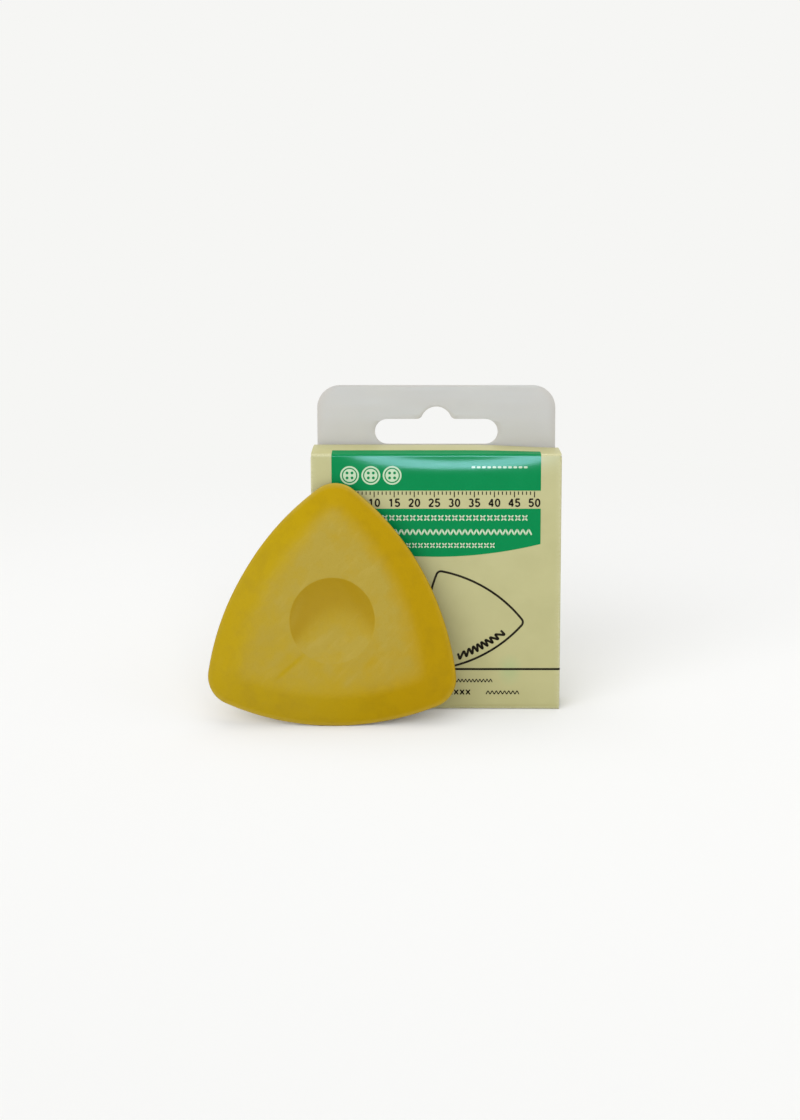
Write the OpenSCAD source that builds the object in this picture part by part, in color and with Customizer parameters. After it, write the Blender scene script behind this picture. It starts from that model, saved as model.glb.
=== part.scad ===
// Tailor's chalk tablet standing against its folding tuck-end carton, which has a hang tab on its back.
// Millimetres, +Z up, +X to the right, +Y to the back. The origin is the middle of the carton's bottom.

/* [Carton] */
// How much wider the carton is inside than the chalk that it holds
chalk_side_room = 0.8; // [0.8:0.1:20]
// How much deeper the carton is inside than the chalk
chalk_depth_room = 2.8; // [2:0.1:10]
// Outer height of the closed carton
carton_h = 65.6; // [62:0.1:120]
// Thickness of the carton board
board = 0.4; // [0.25:0.01:0.6]
// Outer radius of the upright folds
fold_r = 0.5; // [0.45:0.05:1.5]
// Gap between board layers that lie on each other
layer_gap = 0.06; // [0.04:0.01:0.2]
// Width of the glue flap inside the left side panel
glue_flap_w = 8; // [4:0.1:8.4]
// How far the glue flap stops short of the carton's top and bottom
glue_flap_inset = 6.5; // [6:0.1:12]
// How much more the glue flap's free edge is cut back at each end
glue_flap_taper = 2.5; // [0:0.1:6]

/* [Tuck ends] */
// Gap between the closed lid's free end and the back panel
tuck_gap = 0.5; // [0.4:0.01:0.8]
// How far the lid stops short of the carton's sides
lid_side_gap = 0.1; // [0.05:0.01:0.5]
// Length of the tuck tongue
tongue_len = 5.5; // [3:0.1:6]
// Gap between the tongue's side edges and the board beside them
tongue_side_gap = 0.3; // [0.2:0.05:3]
// Corner radius of the tongue's free edge
tongue_corner_r = 3.5; // [1:0.1:5]
// Inward lean of the tucked tongue in degrees
tongue_lean = 9; // [8:0.5:14]
// Length of the dust flaps
dust_len = 14; // [6:0.5:20]
// Gap between a dust flap's root and the front panel
dust_front_gap = 0.2; // [0.15:0.01:0.6]
// Cut back of the dust flap's front edge for each millimetre of its length
dust_front_slope = 0.26; // [0.25:0.01:0.3]
// Gap between a dust flap's root and the tuck tongue
dust_back_gap = 0.7; // [0.5:0.05:1.5]
// Cut back of the dust flap's rear edge for each millimetre of its length
dust_back_slope = 0.08; // [0.06:0.01:0.12]
// Corner radius at a dust flap's free end
dust_corner_r = 1.4; // [0.4:0.1:1.8]

/* [Hang tab] */
// How far the hang tab stops short of each side of the carton
tab_inset = 0.8; // [0.4:0.1:4]
// Thickness of the hang tab
tab_t = 0.4; // [0.25:0.05:1]
// Height of the tab above the carton
tab_rise = 16.2; // [14:0.1:30]
// Length of the tab that is stuck to the back panel
tab_stuck = 15; // [8:0.1:30]
// Radius of the tab's upper corners
tab_top_r = 5.8; // [2:0.1:7]
// Radius of the tab's lower corners
tab_low_r = 1.5; // [0.5:0.1:4]
// Overall width of the hanging slot
slot_w = 31.5; // [24:0.1:34]
// Height of the hanging slot
slot_h = 6.4; // [5:0.1:7]
// Height of the slot's lower edge above the carton
slot_rise = 1.1; // [0.8:0.1:3]
// Width of the arched notch in the middle of the slot
notch_w = 8; // [7:0.1:10]
// Height of the notch above the slot
notch_h = 3.2; // [2:0.1:4]
// Radius of the fillets beside the notch
notch_fillet_r = 1.6; // [0.6:0.1:1.9]
// Thickness of the adhesive that holds the tab
adhesive_t = 0.1; // [0.05:0.01:0.3]
// Margin of the adhesive inside the stuck part of the tab
adhesive_margin = 1.2; // [0.5:0.1:3]

/* [Chalk] */
// Width of the chalk across two corners
chalk_w = 61; // [56:0.1:61]
// Thickness of the chalk between its flat faces
chalk_t = 6.6; // [5:0.1:8]
// Radius of the chalk's rounded corners
corner_r = 7.2; // [5:0.1:10]
// Radius of the chalk's bowed sides
side_r = 68; // [50:1:90]
// Width of the bevel that runs round both faces
bevel_w = 9; // [5:0.1:10]
// Corner radius of the flat face inside the bevel
face_corner_r = 2.6; // [1:0.1:5]
// Width of the soft shoulder between bevel and flat face
shoulder_w = 2.4; // [0.5:0.1:4]
// Radius of the thin marking edge
edge_r = 0.45; // [0.3:0.05:0.8]
// Diameter of the thumb dish in each face
dish_d = 21; // [14:0.5:22]
// Depth of the thumb dish
dish_depth = 1.1; // [0.5:0.1:1.5]

/* [Placing] */
// Offset of the chalk's centre to the left of the carton's middle
chalk_left = 25.4; // [0:0.1:28]
// Backward lean of the standing chalk in degrees
chalk_lean = 9; // [4:0.5:14]
// Clockwise roll of the standing chalk in degrees
chalk_roll = 0.8; // [0:0.1:3]
// Gap between the chalk's shoulder and the front panel
chalk_gap = 0.15; // [0.1:0.05:0.3]

/* [Hidden] */
$fn = 64;
// Overcut that keeps cutting faces off the faces they cut
eps = 0.5;

// Carton faces and the levels of its upper closing layers
carton_w = chalk_w + chalk_side_room + 2 * board;
carton_d = chalk_t + chalk_depth_room + 2 * board;
half_w = carton_w / 2;
front_y = -carton_d / 2;
back_y = carton_d / 2;
lid_under_z = carton_h - board;
below_lid_z = lid_under_z - layer_gap;
side_top_z = below_lid_z - board - layer_gap;

// Lid and tongue
lid_end_y = back_y - board - tuck_gap;
lid_len = lid_end_y - front_y;
crease_y = lid_end_y - board;
tongue_w = carton_w - 4 * board - 2 * tongue_side_gap;
// Radius of the tongue's corners at its crease
tongue_root_r = 0.1;

// Dust flap outline, from its fold inwards
dust_front_y = front_y + board + dust_front_gap;
dust_back_y = crease_y - dust_back_gap;

// Hang tab
tab_w = carton_w - 2 * tab_inset;
tab_y = back_y + adhesive_t;
tab_low_z = carton_h - tab_stuck;
tab_top_z = carton_h + tab_rise;
slot_low_z = carton_h + slot_rise;
slot_end_r = slot_h / 2;

// Chalk outline: three corner circles on a ring, joined by three bowed sides
corner_ring = (chalk_w / 2 - corner_r) / cos(30);
side_ring = sqrt(pow(side_r - corner_r, 2) - pow(corner_ring * cos(30), 2)) - corner_ring / 2;
face_side_r = side_r - bevel_w;
// Ring of the flat face's corner circles: they touch sides that share the outline's side centres
face_corner_ring = -side_ring / 2
    + sqrt(pow(face_side_r - face_corner_r, 2) - pow(side_ring * cos(30), 2));
face_tip = face_corner_ring + face_corner_r;
// Points on each half corner and each half side of the outline
corner_steps = 5;
side_steps = 7;
// Rings on the marking edge, the straight bevel and the soft shoulder
edge_steps = 3;
bevel_steps = 3;
shoulder_steps = 4;
dish_facets = 180;
bevel_slope = (chalk_t / 2 - edge_r) / (bevel_w - edge_r - shoulder_w / 2);

// Chalk's place: it stands on its lower side and leans on the front panel
chalk_z = (side_r - edge_r - side_ring * cos(chalk_roll)) * cos(chalk_lean) + edge_r;
chalk_y = front_y - chalk_gap - chalk_t / 2 * cos(chalk_lean) - face_tip * sin(chalk_lean);

// Distance from the chalk's centre to a rounded three-sided outline, a degrees round from a corner
function fold_angle(a) = abs(a - 120 * round(a / 120));
function corner_end(ring, r, side_c, side_rad) =
    let (kx = ring + side_c * cos(60), ky = side_c * sin(60), len = norm([kx, ky]))
    atan2(-side_c * sin(60) + ky / len * side_rad, -side_c * cos(60) + kx / len * side_rad);
function outline_r(a, ring, r, side_c, side_rad) =
    let (f = fold_angle(a))
    f < corner_end(ring, r, side_c, side_rad)
        ? ring * cos(f) + sqrt(max(0, r * r - pow(ring * sin(f), 2)))
        : -side_c * cos(60 - f) + sqrt(side_rad * side_rad - pow(side_c * sin(60 - f), 2));
// Directions from the centre to even steps along half a corner, then along half a side
corner_span = corner_end(corner_ring, corner_r, side_ring, side_r);
corner_turn = atan2(side_ring * sin(60), corner_ring + side_ring * cos(60));
half_steps = [
    for (i = [0:corner_steps - 1])
        let (t = corner_turn * i / corner_steps) atan2(corner_r * sin(t), corner_ring + corner_r * cos(t)),
    for (i = [0:side_steps - 1]) corner_span + (60 - corner_span) * i / side_steps
];
outline_angles = [
    for (k = [0:2]) each [
        for (i = [0:len(half_steps) - 1]) 120 * k + half_steps[i],
        120 * k + 60,
        for (i = [len(half_steps) - 1:-1:1]) 120 * k + 120 - half_steps[i]
    ]
];
// Chalk section as [distance in from the outline, height above the middle plane]
half_section = [
    for (i = [1:edge_steps]) edge_r * [1 - cos(90 * i / edge_steps), sin(90 * i / edge_steps)],
    for (i = [1:bevel_steps])
        let (d = edge_r + (bevel_w - edge_r - shoulder_w) * i / bevel_steps)
        [d, edge_r + bevel_slope * (d - edge_r)],
    for (i = [1:shoulder_steps])
        let (s = shoulder_w * (1 - i / shoulder_steps))
        [bevel_w - s, chalk_t / 2 - bevel_slope * s * s / shoulder_w / 2]
];
function reversed(v) = [for (i = [len(v) - 1:-1:0]) v[i]];
section = concat(
    [for (p = reversed(half_section)) [p[0], -p[1]]], [[0, 0]], half_section);

// One loop of the chalk's surface, parallel to the outline and moved in towards the flat face
function chalk_ring(inset, height) = [
    for (a = outline_angles)
        let (outer = outline_r(a, corner_ring, corner_r, side_ring, side_r),
             inner = outline_r(a, face_corner_ring, face_corner_r, side_ring, face_side_r),
             r = outer + (inner - outer) * inset / bevel_w)
        [r * sin(a), -height, r * cos(a)]
];

// Plate with its corners at the top rounded by one radius and at the bottom by another, in the XY plane
module rounded_plate(w, h, top_r, low_r) {
    intersection() {
        translate([-w / 2, 0]) square([w, h]);
        union() {
            translate([-w / 2, low_r]) square([w, max(h - low_r - top_r, eps)]);
            translate([-w / 2 + top_r, low_r]) square([w - 2 * top_r, h]);
            translate([-w / 2 + low_r, 0]) square([w - 2 * low_r, h / 2]);
            for (s = [-1, 1]) {
                translate([s * (w / 2 - top_r), h - top_r]) circle(top_r);
                translate([s * (w / 2 - low_r), low_r]) circle(low_r);
            }
        }
    }
}

// Rectangle centred on the origin with four round corners
module rounded_rect(w, d, r) {
    union() {
        square([w - 2 * r, d], center = true);
        square([w, d - 2 * r], center = true);
        for (x = [-1, 1], y = [-1, 1]) translate([x * (w / 2 - r), y * (d / 2 - r)]) circle(r);
    }
}

// Stands an XY outline up, so that its Y is the part's Z, with its front at y
module upright(y, t) {
    translate([0, y + t, 0]) rotate([90, 0, 0]) linear_extrude(t) children();
}

// Copies a piece of the upper end to the lower end
module at_bottom() {
    translate([0, 0, carton_h]) mirror([0, 0, 1]) children();
}

// Pressed chalk: bowed sides bevelled on both faces down to a marking edge, with a thumb dish each side
module chalk_tablet() {
    rings = [for (p = section) chalk_ring(p[0], p[1])];
    n = len(outline_angles);
    m = len(rings);
    points = [for (ring = rings) each ring];
    skin = [
        for (j = [0:m - 2], i = [0:n - 1])
            let (k = (i + 1) % n, a = j * n + i, b = j * n + k, c = (j + 1) * n + k, d = (j + 1) * n + i)
            each [[a, c, b], [a, d, c]]
    ];
    first_face = [for (i = [0:n - 1]) i];
    last_face = [for (i = [n - 1:-1:0]) (m - 1) * n + i];
    dish_r = (pow(dish_d / 2, 2) + pow(dish_depth, 2)) / (2 * dish_depth);
    color("goldenrod")
        translate([-chalk_left, chalk_y, chalk_z])
            rotate([-chalk_lean, 0, 0])
                rotate([0, chalk_roll, 0])
                    difference() {
                        polyhedron(points, concat(skin, [first_face, last_face]), convexity = 4);
                        for (s = [-1, 1])
                            translate([0, s * (chalk_t / 2 - dish_depth + dish_r), 0])
                                sphere(dish_r, $fn = dish_facets);
                    }
}

// Four upright panels folded from one board, with the glue flap inside the left side
module carton_sleeve() {
    color("khaki") union() {
        difference() {
            linear_extrude(carton_h) difference() {
                rounded_rect(carton_w, carton_d, fold_r);
                square([carton_w - 2 * board, carton_d - 2 * board], center = true);
            }
            panel_end_cuts();
            at_bottom() panel_end_cuts();
        }
        glue_flap();
    }
}

// What the upper ends of the front and side panels leave free for the lid and the dust flaps
module panel_end_cuts() {
    translate([-half_w - eps, front_y - eps, below_lid_z])
        cube([carton_w + 2 * eps, board + eps, board + layer_gap + eps]);
    for (x = [-half_w - eps, half_w - board - eps])
        translate([x, front_y + board - layer_gap / 2, side_top_z])
            cube([board + 2 * eps, carton_d - 2 * board + layer_gap, carton_h]);
}

module glue_flap() {
    free_y = back_y - board - glue_flap_w;
    low_z = glue_flap_inset;
    high_z = carton_h - glue_flap_inset;
    translate([-half_w + board, 0, 0]) rotate([90, 0, 90]) linear_extrude(board)
        polygon([[back_y - board, low_z], [free_y, low_z + glue_flap_taper],
                 [free_y, high_z - glue_flap_taper], [back_y - board, high_z]]);
}

// Lid panel, folded from the front panel's top edge with a round outer fold
module lid_panel() {
    translate([-half_w + lid_side_gap, 0, 0]) rotate([90, 0, 90]) linear_extrude(carton_w - 2 * lid_side_gap)
        union() {
            translate([front_y + board, lid_under_z]) square([lid_len - board, board]);
            intersection() {
                translate([front_y + board, lid_under_z]) circle(board);
                translate([front_y, lid_under_z]) square(board + layer_gap);
            }
        }
}

// Tongue that tucks in behind the lid's free end, hanging from the crease and leaning inwards
module tuck_tongue() {
    translate([0, crease_y, lid_under_z]) rotate([-tongue_lean, 0, 0])
        translate([0, 0, -tongue_len])
            upright(0, board) rounded_plate(tongue_w, tongue_len, tongue_root_r, tongue_corner_r);
}

// Left dust flap, folded in from the left side panel under the lid
module dust_flap() {
    tip_x = dust_len;
    straight_x = tip_x - dust_corner_r;
    tip_front = dust_front_y + dust_front_slope * straight_x;
    tip_back = dust_back_y - dust_back_slope * straight_x;
    translate([-half_w, 0, below_lid_z - board]) linear_extrude(board) union() {
        polygon([[0, dust_front_y], [straight_x, tip_front], [straight_x, tip_back], [0, dust_back_y]]);
        translate([tip_x - 2 * dust_corner_r, tip_front + dust_corner_r])
            square([2 * dust_corner_r, tip_back - tip_front - 2 * dust_corner_r]);
        for (y = [tip_front + dust_corner_r, tip_back - dust_corner_r])
            translate([straight_x, y]) circle(dust_corner_r);
    }
}

module top_lid() { color("cornsilk") lid_panel(); }
module top_tuck_tongue() { color("cornsilk") tuck_tongue(); }
module top_dust_flap_left() { color("cornsilk") dust_flap(); }
module top_dust_flap_right() { color("cornsilk") mirror([1, 0, 0]) dust_flap(); }
module bottom_lid() { color("cornsilk") at_bottom() lid_panel(); }
module bottom_tuck_tongue() { color("cornsilk") at_bottom() tuck_tongue(); }
module bottom_dust_flap_left() { color("cornsilk") at_bottom() dust_flap(); }
module bottom_dust_flap_right() { color("cornsilk") at_bottom() mirror([1, 0, 0]) dust_flap(); }

// Clear hanging slot with its arched notch, filleted where the arch leaves the slot
module hang_slot() {
    arch_r = notch_w / 2;
    arch_z = slot_h + notch_h - arch_r;
    fillet_z = slot_h + notch_fillet_r;
    fillet_x = sqrt(pow(arch_r + notch_fillet_r, 2) - pow(fillet_z - arch_z, 2));
    translate([0, slot_low_z]) {
        translate([-slot_w / 2 + slot_end_r, 0]) square([slot_w - 2 * slot_end_r, slot_h]);
        for (s = [-1, 1]) translate([s * (slot_w / 2 - slot_end_r), slot_end_r]) circle(slot_end_r);
        translate([0, arch_z]) circle(arch_r);
        difference() {
            polygon([[-fillet_x, slot_end_r], [-fillet_x, fillet_z], [0, arch_z], [fillet_x, fillet_z],
                     [fillet_x, slot_end_r]]);
            for (s = [-1, 1]) translate([s * fillet_x, fillet_z]) circle(notch_fillet_r);
        }
    }
}

// Plastic hanger that stands up behind the carton
module hang_tab() {
    color("silver") upright(tab_y, tab_t) difference() {
        translate([0, tab_low_z]) rounded_plate(tab_w, tab_top_z - tab_low_z, tab_top_r, tab_low_r);
        hang_slot();
    }
}

// Adhesive patch between the back panel and the hang tab
module hang_tab_adhesive() {
    color("whitesmoke") translate([-tab_w / 2 + adhesive_margin, back_y, tab_low_z + adhesive_margin])
        cube([tab_w - 2 * adhesive_margin, adhesive_t, tab_stuck - 2 * adhesive_margin]);
}

chalk_tablet();
carton_sleeve();
top_lid();
top_tuck_tongue();
top_dust_flap_left();
top_dust_flap_right();
bottom_lid();
bottom_tuck_tongue();
bottom_dust_flap_left();
bottom_dust_flap_right();
hang_tab();
hang_tab_adhesive();
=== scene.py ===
"""A pressed tailor's chalk tablet, standing against its tuck-end carton with a plastic hang tab.

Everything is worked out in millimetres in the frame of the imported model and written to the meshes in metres.
"""

import logging
import math
from collections.abc import Callable, Sequence
from dataclasses import dataclass, field
from enum import Enum

import bpy
import numpy as np
from mathutils import Euler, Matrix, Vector


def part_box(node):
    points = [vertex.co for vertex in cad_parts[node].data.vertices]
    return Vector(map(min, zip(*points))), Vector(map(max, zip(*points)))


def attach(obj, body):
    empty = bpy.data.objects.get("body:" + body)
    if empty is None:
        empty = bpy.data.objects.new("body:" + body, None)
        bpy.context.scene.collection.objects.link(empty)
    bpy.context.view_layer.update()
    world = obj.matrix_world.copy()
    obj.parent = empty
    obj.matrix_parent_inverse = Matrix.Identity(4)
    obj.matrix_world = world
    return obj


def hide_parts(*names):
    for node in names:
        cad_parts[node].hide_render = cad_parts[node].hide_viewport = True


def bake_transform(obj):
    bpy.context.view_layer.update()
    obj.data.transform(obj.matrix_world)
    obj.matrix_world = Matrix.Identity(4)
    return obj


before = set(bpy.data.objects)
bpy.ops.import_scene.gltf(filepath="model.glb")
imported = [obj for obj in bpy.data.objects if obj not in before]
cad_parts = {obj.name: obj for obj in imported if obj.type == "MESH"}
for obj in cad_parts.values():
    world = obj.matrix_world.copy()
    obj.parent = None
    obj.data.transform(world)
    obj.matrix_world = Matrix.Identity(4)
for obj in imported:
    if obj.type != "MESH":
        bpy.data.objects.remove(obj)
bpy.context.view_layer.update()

Grid = np.ndarray
Material = bpy.types.Material
Piece = bpy.types.Object
Socket = bpy.types.NodeSocket
MM = 0.001
COS30 = math.cos(math.radians(30))
QUARTER = math.pi / 2
log = logging.getLogger("tailors_chalk")


# Colour and shader helpers

def to_linear(code: str) -> tuple[float, ...]:
    """Turns an sRGB hex value, "#rrggbb", into the linear colour, with an alpha of one, that sockets take."""
    srgb = (int(code[i:i + 2], 16) / 255 for i in (1, 3, 5))
    return *(c / 12.92 if c <= 0.04045 else ((c + 0.055) / 1.055) ** 2.4 for c in srgb), 1.0


def per_mm(size_mm: float) -> float:
    """Texture scale, in cells per metre, that gives cells of size_mm."""
    return 1 / (size_mm * MM)


def add_node(tree: bpy.types.NodeTree, kind: str, inputs: dict | None = None, out: int | str = 0,
             **settings) -> Socket | None:
    """Adds one shader node with its settings and links.

    Args:
        tree: Node tree that takes the node.
        kind: The node's type after "ShaderNode".
        inputs: A value, or another node's output, for each input's name or number.
        out: Name or number of the output that is wanted.
        **settings: The node's own properties.

    Returns:
        That output, or None for a node that has no outputs.
    """
    node = tree.nodes.new("ShaderNode" + kind)
    for name, value in settings.items():
        setattr(node, name, value)
    for socket, value in (inputs or {}).items():
        if isinstance(value, Socket):
            tree.links.new(value, node.inputs[socket])
        else:
            node.inputs[socket].default_value = value
    return node.outputs[out] if node.outputs else None


def node_material(name: str) -> tuple[Material, bpy.types.NodeTree, Socket]:
    """Makes a node material that is still empty.

    Args:
        name: Its name.

    Returns:
        The material, its tree, and the point in the object, in metres.
    """
    material = bpy.data.materials.new(name)
    material.use_nodes = True
    tree = material.node_tree
    tree.nodes.clear()
    return material, tree, add_node(tree, "TexCoord", out="Object")


# Finishes

@dataclass(frozen=True)
class PressedChalk:
    """Tailor's chalk: pigmented clay and talc pressed in a polished steel die.

    It gives the eye a dense, dull body with next to no reflection, worn paler at its edge, and a greyer film
    of its own dust on the flats. Painted shade darkens the body towards the right and in the dish's upper part
    and sides, and painted light makes the dish paler low in its middle.
    """

    body: str = "#b89a06"
    # painted shade: the body is darker towards the right, standing in for light from the left
    warmer: str = "#b79304"
    # dust on the flats, and painted light low in the dish's middle
    dusty: str = "#b49d42"
    # painted shade in the dish's upper part and sides, where light from above and the left does not reach
    punched: str = "#a98912"
    rubbed: str = "#c1ab56"
    shade: str = "#93760f"
    grain_mm: float = 0.22
    pore_mm: float = 0.55
    mottle_mm: float = 5.0
    smear_mm: float = 1.6
    smear_turn: float = math.radians(-48)

    def material(self) -> Material:
        """Builds the material.

        Returns:
            Body and dust mixed by the mesh's dust value, with painted light and shade, pores and faint smears.
        """
        material, tree, place = node_material("pressed_chalk")
        # of these values, one is painted shade towards the right and one painted shade in the dish's upper
        # part and sides; dust is also painted light low in the dish
        dust, wear, punch, warm = (add_node(tree, "Attribute", out="Fac", attribute_name=name)
                                   for name in ("dust", "wear", "punch", "warm"))
        mottle = add_node(tree, "TexNoise", {"Vector": place, "Scale": per_mm(self.mottle_mm), "Detail": 5.0,
                                             "Roughness": 0.6})
        # the pressed clay is blotchy: darker clouds in the body, under the dust
        blotch = add_node(tree, "MapRange", {0: mottle, 1: 0.48, 2: 0.68, 3: 0.0, 4: 0.22})
        # the dust film is uneven: the noise moves its edge in and out
        uneven = add_node(tree, "Math", {0: mottle, 1: 1.8, 2: 0.1}, operation="MULTIPLY_ADD")
        film = add_node(tree, "Math", {0: dust, 1: uneven}, operation="MULTIPLY", use_clamp=True)
        # finger smears: noise drawn out along one diagonal, where the flats were handled
        drawn = add_node(tree, "Mapping", {"Vector": place, "Rotation": (0.0, self.smear_turn, 0.0),
                                           "Scale": (4.0, 1.0, 1.0)}, vector_type="TEXTURE")
        smear = add_node(tree, "TexNoise", {"Vector": drawn, "Scale": per_mm(self.smear_mm), "Detail": 3.0,
                                            "Roughness": 0.5})
        smear = add_node(tree, "MapRange", {0: smear, 1: 0.54, 2: 0.74, 3: 0.0, 4: 0.3})
        smear = add_node(tree, "Math", {0: smear, 1: dust}, operation="MULTIPLY")
        # grains of darker and lighter pigment, coarser than the real 0.05 mm so that they show
        grain = add_node(tree, "TexNoise", {"Vector": place, "Scale": per_mm(self.grain_mm), "Detail": 4.0,
                                            "Roughness": 0.7})
        dark = add_node(tree, "MapRange", {0: grain, 1: 0.5, 2: 0.78, 3: 0.0, 4: 0.30})
        worn = add_node(tree, "Math", {0: wear, 1: 0.5}, operation="MULTIPLY")
        # the first and third coats are painted shade, towards the right and in the dish; the dust coat is also
        # painted light low in the dish
        colour = to_linear(self.body)
        for share, coat in ((warm, self.warmer), (blotch, self.shade), (punch, self.punched),
                            (film, self.dusty), (smear, self.rubbed), (dark, self.shade),
                            (worn, self.rubbed)):
            colour = add_node(tree, "Mix", {0: share, 6: colour, 7: to_linear(coat)}, 2, data_type="RGBA")
        pores = add_node(tree, "TexVoronoi", {"Vector": place, "Scale": per_mm(self.pore_mm)}, "Distance")
        pores = add_node(tree, "MapRange", {0: pores, 1: 0.0, 2: 0.22, 3: 0.0, 4: 1.0})
        height = add_node(tree, "Math", {0: grain, 1: pores}, operation="ADD")
        relief = add_node(tree, "Bump", {"Height": height, "Strength": 0.55, "Distance": 0.03 * MM})
        waves = add_node(tree, "Bump", {"Height": mottle, "Strength": 0.5, "Distance": 0.25 * MM,
                                        "Normal": relief})
        roughness = add_node(tree, "MapRange", {0: film, 1: 0.0, 2: 1.0, 3: 0.52, 4: 0.9})
        surface = add_node(tree, "BsdfPrincipled", {"Base Color": colour, "Roughness": roughness,
                                                    "Normal": waves, "Specular IOR Level": 0.04,
                                                    "IOR": 1.5})
        add_node(tree, "OutputMaterial", {"Surface": surface})
        return material


@dataclass(frozen=True)
class CoatedBoard:
    """Folding boxboard: clay-coated on the printed side, flood-printed cream and gloss-varnished.

    It gives the eye a smooth, faintly mottled cream with a soft reflection of the lamps, paler cracked
    coating along the creases, and a faint green patch low on the front, set off from the wet ink of another
    sheet.
    """

    cream: str = "#c3bf8c"
    shade: str = "#bfbb88"
    cracked: str = "#dedbb8"
    set_off: str = "#8fbf8a"
    set_off_at: tuple[float, float, float] = (18.6, -5.1, 10.4)
    set_off_mm: tuple[float, float, float] = (3.2, 3.2, 4.0)
    mottle_mm: float = 7.0
    fibre_mm: float = 0.35

    def material(self) -> Material:
        """Builds the material.

        Returns:
            A varnished board whose coating is paler and rougher where the mesh's crease value is high.
        """
        material, tree, place = node_material("cream_coated_board")
        crease = add_node(tree, "Attribute", out="Fac", attribute_name="crease")
        cloud = add_node(tree, "TexNoise", {"Vector": place, "Scale": per_mm(self.mottle_mm), "Detail": 3.0})
        cloud = add_node(tree, "MapRange", {0: cloud, 1: 0.35, 2: 0.65})
        # the set-off patch: distance from its middle, measured in its own widths
        patch = add_node(tree, "VectorMath", {0: place, 1: [at * MM for at in self.set_off_at]},
                         operation="SUBTRACT")
        patch = add_node(tree, "VectorMath", {0: patch, 1: [per_mm(size) for size in self.set_off_mm]},
                         operation="MULTIPLY")
        patch = add_node(tree, "VectorMath", {0: patch}, "Value", operation="LENGTH")
        patch = add_node(tree, "MapRange", {0: patch, 1: 0.3, 2: 1.1, 3: 0.25, 4: 0.0})
        fibre = add_node(tree, "TexNoise", {"Vector": place, "Scale": per_mm(self.fibre_mm), "Detail": 4.0,
                                            "Roughness": 0.65})
        crack = add_node(tree, "MapRange", {0: fibre, 1: 0.38, 2: 0.66, 3: 0.15, 4: 0.85})
        crack = add_node(tree, "Math", {0: crack, 1: crease}, operation="MULTIPLY")
        colour = to_linear(self.cream)
        for share, coat in ((cloud, self.shade), (patch, self.set_off), (crack, self.cracked)):
            colour = add_node(tree, "Mix", {0: share, 6: colour, 7: to_linear(coat)}, 2, data_type="RGBA")
        roughness = add_node(tree, "MapRange", {0: crack, 1: 0.0, 2: 0.6, 3: 0.3, 4: 0.55})
        relief = add_node(tree, "Bump", {"Height": fibre, "Strength": 0.18, "Distance": 0.01 * MM})
        relief = add_node(tree, "Bump", {"Height": cloud, "Strength": 0.12, "Distance": 0.05 * MM,
                                         "Normal": relief})
        surface = add_node(tree, "BsdfPrincipled", {"Base Color": colour, "Roughness": roughness,
                                                    "Normal": relief, "Specular IOR Level": 0.09,
                                                    "IOR": 1.5})
        add_node(tree, "OutputMaterial", {"Surface": surface})
        return material


@dataclass(frozen=True)
class BareBoard:
    """The board's uncoated side and cut edges: grey-white recycled pulp, matt, with darker fibres in it."""

    name: str
    pulp: str
    fleck: str
    fibre_mm: float = 0.5

    def material(self) -> Material:
        """Builds the material.

        Returns:
            A matt pulp whose flecks are fibres drawn out along the board's grain.
        """
        material, tree, place = node_material(self.name)
        grain = add_node(tree, "Mapping", {"Vector": place, "Scale": (0.35, 1.0, 1.0)})
        fibre = add_node(tree, "TexNoise", {"Vector": grain, "Scale": per_mm(self.fibre_mm), "Detail": 6.0,
                                            "Roughness": 0.7})
        fleck = add_node(tree, "MapRange", {0: fibre, 1: 0.52, 2: 0.72, 3: 0.0, 4: 0.7})
        relief = add_node(tree, "Bump", {"Height": fibre, "Strength": 0.4, "Distance": 0.02 * MM})
        colour = add_node(tree, "Mix", {0: fleck, 6: to_linear(self.pulp), 7: to_linear(self.fleck)}, 2,
                          data_type="RGBA")
        surface = add_node(tree, "BsdfPrincipled", {"Base Color": colour, "Roughness": 0.92,
                                                    "Normal": relief, "Specular IOR Level": 0.25})
        add_node(tree, "OutputMaterial", {"Surface": surface})
        return material


@dataclass(frozen=True)
class OffsetInk:
    """Offset-litho ink under the carton's gloss varnish.

    It gives the eye a flat, saturated colour with a slight starving of the ink on the board's fibres.
    """

    name: str
    ink: str
    starved: str
    fibre_mm: float = 0.4
    film_mm: float = 6.0

    def material(self) -> Material:
        """Builds the material.

        Returns:
            A varnished ink whose tone wanders slightly and thins on the board's fibres.
        """
        material, tree, place = node_material(self.name)
        fibre = add_node(tree, "TexNoise", {"Vector": place, "Scale": per_mm(self.fibre_mm), "Detail": 4.0,
                                            "Roughness": 0.65})
        film = add_node(tree, "TexNoise", {"Vector": place, "Scale": per_mm(self.film_mm), "Detail": 2.0})
        thin = add_node(tree, "Math", {0: fibre, 1: film}, operation="MULTIPLY")
        thin = add_node(tree, "MapRange", {0: thin, 1: 0.2, 2: 0.42, 3: 0.0, 4: 0.3})
        relief = add_node(tree, "Bump", {"Height": fibre, "Strength": 0.15, "Distance": 0.01 * MM})
        colour = add_node(tree, "Mix", {0: thin, 6: to_linear(self.ink), 7: to_linear(self.starved)}, 2,
                          data_type="RGBA")
        surface = add_node(tree, "BsdfPrincipled", {"Base Color": colour, "Roughness": 0.14,
                                                    "Normal": relief, "Specular IOR Level": 0.05,
                                                    "IOR": 1.5})
        add_node(tree, "OutputMaterial", {"Surface": surface})
        return material


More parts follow.
